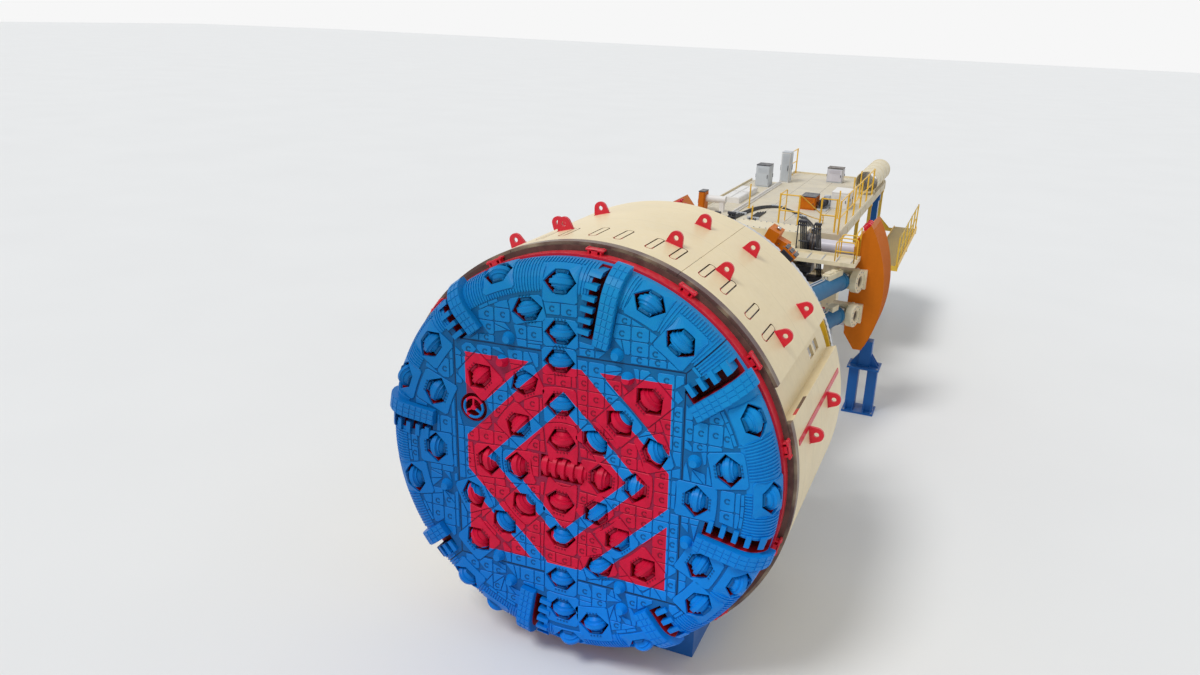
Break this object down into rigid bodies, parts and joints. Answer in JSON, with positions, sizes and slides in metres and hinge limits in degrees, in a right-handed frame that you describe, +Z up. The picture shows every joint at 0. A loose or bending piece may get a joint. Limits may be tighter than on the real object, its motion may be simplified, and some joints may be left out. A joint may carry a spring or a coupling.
{
  "type": "open hard rock tunnel boring machine",
  "caption": "Open-type hard rock tunnel boring machine with cutterhead, shield, main beam, grippers, thrust cylinders, rear deck, and the cradle and stands under it.",
  "frame": {"origin": "middle of the whole machine's box on the floor, under the machine's axis", "axes": "+Z up, +Y from the cutterhead to the rear, +X to the right as seen from the front"},
  "size_m": [8.6994, 29.831, 8.6582],
  "materials": {
    "stand_blue": "satin",
    "shield_cream": "satin",
    "beam_cream": "satin",
    "primer_brown": "matte",
    "red_paint": "satin",
    "head_blue": "satin",
    "orange_paint": "satin",
    "yellow_paint": "satin",
    "teal_paint": "satin",
    "grey_paint": "satin",
    "bare_steel": "polished",
    "belt_rubber": "matte"
  },
  "bodies": {
    "body": {"cradle": "stand_blue", "shield_body": "shield_cream", "front_lip": "primer_brown", "seal_ring": "red_paint", "lower_lugs": "red_paint", "cutterhead_support": "shield_cream", "drive_motors": "head_blue", "beam_front": "beam_cream", "thrust_ears": "beam_cream", "beam_rear": "beam_cream", "erector_frame": "beam_cream", "drill_frame": "yellow_paint", "rear_support": "beam_cream", "conveyor_frame": "grey_paint", "conveyor_belt": "belt_rubber", "rear_deck": "beam_cream", "deck_rails": "yellow_paint", "deck_boxes": "grey_paint", "deck_tanks": "orange_paint", "deck_cabinets": "beam_cream", "vent_duct": "beam_cream", "walkway_r": "yellow_paint", "walkway_l": "yellow_paint", "gripper_stand_r": "stand_blue", "gripper_stand_l": "stand_blue", "rear_stand": "stand_blue"},
    "roof": {"shield_roof": "shield_cream", "roof_lugs": "red_paint"},
    "side_r": {"shield_side_r": "shield_cream", "side_lugs_r": "red_paint"},
    "side_l": {"shield_side_l": "shield_cream", "side_lugs_l": "red_paint"},
    "cutterhead": {"head_center": "head_blue", "head_segments": "head_blue", "head_cutters": "head_blue", "head_buckets": "head_blue", "head_fittings": "head_blue", "head_hub": "red_paint"},
    "centre_roller": {"centre_cutters": "red_paint"},
    "erector": {"erector_ring": "yellow_paint", "erector_grips": "orange_paint"},
    "drill_r": {"drill_mast_r": "orange_paint"},
    "drill_l": {"drill_mast_l": "orange_paint"},
    "carriage": {"gripper_carriage": "beam_cream", "gripper_barrels": "teal_paint"},
    "shoe_r": {"gripper_shoe_r": "orange_paint", "gripper_rods_r": "bare_steel", "thrust_sockets_r": "beam_cream"},
    "shoe_l": {"gripper_shoe_l": "orange_paint", "gripper_rods_l": "bare_steel", "thrust_sockets_l": "beam_cream"},
    "balls_r": {"thrust_balls_r": "bare_steel"},
    "balls_l": {"thrust_balls_l": "bare_steel"},
    "barrels_r": {"thrust_barrels_r": "teal_paint"},
    "barrels_l": {"thrust_barrels_l": "teal_paint"},
    "rods_r": {"thrust_rods_r": "bare_steel"},
    "rods_l": {"thrust_rods_l": "bare_steel"},
    "leg_r": {"rear_leg_r": "bare_steel"},
    "leg_l": {"rear_leg_l": "bare_steel"},
    "drum": {"conveyor_drum": "red_paint"}
  },
  "joints": [
    {"name": "cutterhead_spin", "type": "hinge", "parent": "body", "child": "cutterhead", "pos_m": [0, -13.865, 4.4], "axis": [0, 1, 0], "continuous": true},
    {"name": "centre_roller_spin", "type": "hinge", "parent": "cutterhead", "child": "centre_roller", "pos_m": [0, -14.674, 4.4], "axis": [1, 0, 0], "continuous": true},
    {"name": "roof_push", "type": "slide", "parent": "body", "child": "roof", "axis": [0, 0, 1], "range_m": [0, 0.06]},
    {"name": "side_r_push", "type": "slide", "parent": "body", "child": "side_r", "axis": [0.6711, 0, 0.7414], "range_m": [0, 0.06]},
    {"name": "side_l_push", "type": "slide", "parent": "body", "child": "side_l", "axis": [-0.6711, 0, 0.7414], "range_m": [0, 0.06]},
    {"name": "erector_turn", "type": "hinge", "parent": "body", "child": "erector", "pos_m": [0, -8.165, 4.4], "axis": [0, 1, 0], "continuous": true},
    {"name": "drill_r_swing", "type": "hinge", "parent": "body", "child": "drill_r", "pos_m": [1.15, -6.865, 5.35], "axis": [0, 1, 0], "range_deg": [-25, 20]},
    {"name": "drill_l_swing", "type": "hinge", "parent": "body", "child": "drill_l", "pos_m": [-1.15, -6.865, 5.35], "axis": [0, -1, 0], "range_deg": [-25, 20]},
    {"name": "carriage_slide", "type": "slide", "parent": "body", "child": "carriage", "axis": [0, -1, 0], "range_m": [0, 1]},
    {"name": "shoe_r_slide", "type": "slide", "parent": "carriage", "child": "shoe_r", "axis": [1, 0, 0], "range_m": [0, 0.3]},
    {"name": "shoe_l_slide", "type": "slide", "parent": "carriage", "child": "shoe_l", "axis": [-1, 0, 0], "range_m": [0, 0.3]},
    {"name": "thrust_ball_r", "type": "hinge", "parent": "shoe_r", "child": "balls_r", "pos_m": [2.72, 0.135, 4.33], "axis": [0, 0, -1], "range_deg": [0, 3]},
    {"name": "thrust_ball_l", "type": "hinge", "parent": "shoe_l", "child": "balls_l", "pos_m": [-2.72, 0.135, 4.33], "axis": [0, 0, 1], "range_deg": [0, 3]},
    {"name": "thrust_swing_r", "type": "hinge", "parent": "balls_r", "child": "barrels_r", "pos_m": [2.72, 0.135, 4.33], "axis": [0, 0, -1], "range_deg": [0, 3]},
    {"name": "thrust_swing_l", "type": "hinge", "parent": "balls_l", "child": "barrels_l", "pos_m": [-2.72, 0.135, 4.33], "axis": [0, 0, 1], "range_deg": [0, 3]},
    {"name": "thrust_rod_r", "type": "slide", "parent": "barrels_r", "child": "rods_r", "axis": [0.238, 0.9713, 0], "range_m": [0, 0.97]},
    {"name": "thrust_rod_l", "type": "slide", "parent": "barrels_l", "child": "rods_l", "axis": [-0.238, 0.9713, 0], "range_m": [0, 0.97]},
    {"name": "leg_r_lift", "type": "slide", "parent": "body", "child": "leg_r", "axis": [0, 0, 1], "range_m": [0, 0.7]},
    {"name": "leg_l_lift", "type": "slide", "parent": "body", "child": "leg_l", "axis": [0, 0, 1], "range_m": [0, 0.7]},
    {"name": "drum_spin", "type": "hinge", "parent": "body", "child": "drum", "pos_m": [0, 9.335, 4.2], "axis": [1, 0, 0], "continuous": true}
  ],
  "couplings": [
    {"joint": "thrust_ball_r", "follows": "shoe_r_slide", "rad_per_m": 0.1554},
    {"joint": "thrust_ball_l", "follows": "shoe_l_slide", "rad_per_m": 0.1554},
    {"joint": "thrust_swing_r", "follows": "carriage_slide", "rad_per_m": 0.0456},
    {"joint": "thrust_swing_l", "follows": "carriage_slide", "rad_per_m": 0.0456},
    {"joint": "thrust_rod_r", "follows": "carriage_slide", "ratio": 0.9656},
    {"joint": "thrust_rod_l", "follows": "carriage_slide", "ratio": 0.9656}
  ]
}
